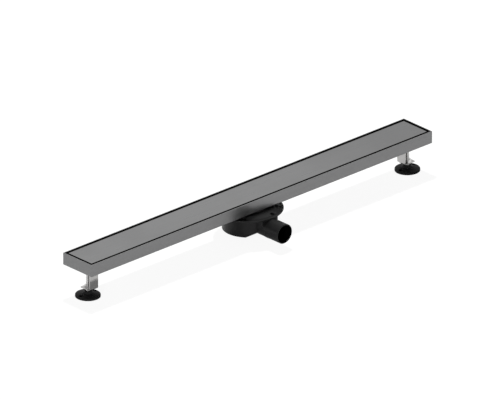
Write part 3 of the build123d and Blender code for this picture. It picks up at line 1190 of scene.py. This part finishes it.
@dataclass
class LevellingFoot:
    """One end's bracket with its nuts, threaded stud and round foot.

    Attributes:
        side: Which end it is.
        thread: The Geometry Nodes tree of the stud.
        pitch: Pitch of the stud's thread, in metres.
        depth: Depth of the thread.
        chamfer: Chamfer at the stud's ends.
        segments: Points round the stud.
        rows_per_pitch: Rows of points along each turn of the thread.
        lock_flats: Width of the lock nut across its flats.
        fixing_flats: Width of the fixing nut across its flats.
        fixing_bore: Radius of the fixing nut's hole.
        clearance: Play between a nut and its stud.
    """

    side: Side
    thread: Tree
    pitch: float = 1.25 * MM
    depth: float = 0.25 * MM
    chamfer: float = 0.6 * MM
    segments: int = 24
    rows_per_pitch: int = 8
    lock_flats: float = 13 * MM
    fixing_flats: float = 8 * MM
    fixing_bore: float = 2.5 * MM
    clearance: float = 0.05 * MM

    def build(self, finishes: Finishes) -> None:
        """Builds the stud and the nuts over their CAD nodes.

        Args:
            finishes: The materials.
        """
        end = self.side.value
        low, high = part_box(f"foot_stud_{end}")
        middle = (low + high) / 2
        radius = (high.x - low.x) / 2
        length = high.z - low.z
        stud = grown(
            f"levelling_stud_{end}",
            self.thread,
            Base=(middle.x, middle.y, low.z),
            Radius=radius,
            Length=length,
            Pitch=self.pitch,
            Depth=self.depth,
            Chamfer=self.chamfer,
            Segments=self.segments,
            Rows=round(length / self.pitch * self.rows_per_pitch),
            Finish=finishes.of(BRIGHT_ZINC),
        )
        place_piece(stud, f"foot_{end}", "bright_zinc", f"foot_stud_{end}")
        nuts = (
            HexNut(f"lock_nut_{end}", self.lock_flats, radius + self.clearance),
            HexNut(f"bracket_nut_{end}", self.fixing_flats, self.fixing_bore + self.clearance),
        )
        for nut in nuts:
            place_piece(nut.build(finishes), "drain", "bright_zinc", nut.node)

    def dress(self, finishes: Finishes) -> None:
        """Gives the CAD nodes their finishes."""
        finishes.dress(f"bracket_{self.side.value}", BRACKET_ZINC)
        finishes.dress(f"foot_pad_{self.side.value}", FOOT_PLASTIC)


@dataclass(frozen=True)
class Lamp:
    """A soft square lamp that faces the drain.

    Attributes:
        name: Its name.
        place: Where it stands, in metres.
        size: Its side, in metres.
        power: Its power in watts.
        mirrored: Whether it shows in glossy surfaces.
    """

    name: str
    place: Triple
    size: float
    power: float
    mirrored: bool = False

    def build(self) -> None:
        """Adds the lamp to the scene."""
        light = bpy.data.lights.new(self.name, "AREA")
        light.size = self.size
        light.energy = self.power
        lamp = added(self.name, light)
        lamp.visible_glossy = self.mirrored
        place = Vector(self.place)
        facing = place.to_track_quat("Z", "Y").to_matrix().to_4x4()
        lamp.matrix_world = Matrix.Translation(place) @ facing


@dataclass
class Studio:
    """White floor, soft light and the camera.

    Attributes:
        azimuth: Camera's angle round the drain, in degrees.
        elevation: Camera's angle above the floor, in degrees.
        width: Width of the view, in metres.
        target: Point of the drain that the view is set by.
        shift: How far the view's middle lies right of and above that point, in metres.
        distance: How far away the camera stands.
        floor_span: Half the floor's width.
        floor_tone: The floor's colour as the drain sees it.
        floor_veil: Its colour towards the camera, which keeps the shadow faint.
        floor_glow: What it adds towards the camera, so that the open floor is white.
        floor_mirror: What it adds where metal mirrors it.
        sky: Strength of the even light from all round.
        ceiling: Brightness straight overhead where metal mirrors it; the horizon is white.
        ceiling_edge: Sine of the heights between which white falls to the ceiling.
        lamps: The lamps.
    """

    azimuth: float = -43.0
    elevation: float = 25.0
    width: float = 0.966
    target: Triple = (0.0, 0.0, 62 * MM)
    shift: tuple[float, float] = (4.6 * MM, 7.2 * MM)
    distance: float = 3.0
    floor_span: float = 8.0
    floor_tone: float = 0.80
    floor_veil: float = 0.12
    floor_glow: float = 0.92
    floor_mirror: float = 0.20
    sky: float = 0.15
    ceiling: float = 0.8
    ceiling_edge: tuple[float, float] = (0.5, 0.85)
    lamps: tuple[Lamp, ...] = (
        Lamp("key", (0.9, 1.3, 4.2), 0.4, 210.0),
        Lamp("side", (-1.9, -1.1, 0.12), 0.2, 60.0),
        Lamp("sheen", (0.48, 1.1, 0.8), 1.3, 1.25, mirrored=True),
    )

    def build(self) -> None:
        """Sets up the whole studio."""
        self._camera()
        self._floor()
        self._world()
        for lamp in self.lamps:
            lamp.build()

    def _camera(self) -> None:
        """Places the camera at the viewing angle, with parallel rays."""
        turn, rise = math.radians(self.azimuth), math.radians(self.elevation)
        back = Vector((math.sin(turn) * math.cos(rise), -math.cos(turn) * math.cos(rise), math.sin(rise)))
        right = Vector((math.cos(turn), math.sin(turn), 0.0))
        up = back.cross(right)
        lens = bpy.data.cameras.new("camera")
        lens.type = "ORTHO"
        lens.ortho_scale = self.width
        camera = added("camera", lens)
        aim = Vector(self.target) + right * self.shift[0] + up * self.shift[1]
        facing = Matrix((right, up, back)).transposed().to_4x4()
        camera.matrix_world = Matrix.Translation(aim + back * self.distance) @ facing
        bpy.context.scene.camera = camera

    def _floor(self) -> None:
        """Lays a plain floor under the lower foot.

        It is white to the camera, keeps the shadow and can be seen through from below.
        """
        mesh = bpy.data.meshes.new("floor")
        span = self.floor_span
        corners = [(-span, -span, 0), (span, -span, 0), (span, span, 0), (-span, span, 0)]
        mesh.from_pydata(corners, [], [(0, 1, 2, 3)])
        floor = added("floor", mesh)
        for side in Side:
            under = floor.constraints.new("FLOOR")
            under.target = frame["bodies"][f"foot_{side.value}"]
            under.floor_location = "FLOOR_NEGATIVE_Z"
        material = bpy.data.materials.new("floor_white")
        material.use_nodes = True
        material.node_tree.nodes.clear()
        wiring = Wiring(material.node_tree)
        direct, mirrored = wiring.ray_kinds()
        tone = wiring.blend(direct, grey(self.floor_tone), grey(self.floor_veil))
        matt = wiring.result("ShaderNodeBsdfDiffuse", {"Color": tone})
        shown = wiring.math("MULTIPLY", direct, self.floor_glow)
        strength = wiring.math("MULTIPLY_ADD", mirrored, self.floor_mirror, shown)
        glow = wiring.result("ShaderNodeEmission", {"Strength": strength})
        top = wiring.result("ShaderNodeAddShader", {0: matt, 1: glow})
        below = wiring.node("ShaderNodeNewGeometry").outputs["Backfacing"]
        clear = wiring.result("ShaderNodeBsdfTransparent")
        sides = wiring.result("ShaderNodeMixShader", {0: below, 1: top, 2: clear})
        wiring.node("ShaderNodeOutputMaterial", {"Surface": sides})
        mesh.materials.append(material)

    def _world(self) -> None:
        """Sets a light from all round that is white where it shows and darker overhead."""
        world = bpy.data.worlds.new("studio")
        world.use_nodes = True
        bpy.context.scene.world = world
        wiring = Wiring(world.node_tree)
        background = world.node_tree.nodes["Background"]
        background.inputs["Color"].default_value = (1.0, 1.0, 1.0, 1.0)
        direct, mirrored = wiring.ray_kinds()
        shown = wiring.math("MAXIMUM", direct, mirrored)
        height = wiring.apart(wiring.node("ShaderNodeTexCoord").outputs["Generated"])["Z"]
        fall = wiring.spread(height, 1.0, self.ceiling, *self.ceiling_edge, curve="SMOOTHSTEP")
        gain = wiring.math("SUBTRACT", fall, self.sky)
        wiring.feed(background.inputs["Strength"], wiring.math("MULTIPLY_ADD", shown, gain, self.sky))


def main() -> None:
    """Builds and dresses the sub-assemblies in order, then the studio."""
    logging.basicConfig(level=logging.INFO, format="%(message)s")
    bpy.context.scene.view_settings.view_transform = "Standard"
    finishes = Finishes()
    ChannelAndCover().dress(finishes)
    trap = Trap()
    trap.build(finishes)
    trap.dress(finishes)
    thread = threaded_rod_tree()
    for side in Side:
        foot = LevellingFoot(side, thread)
        foot.build(finishes)
        foot.dress(finishes)
    Studio().build()


if __name__ == "__main__":
    main()
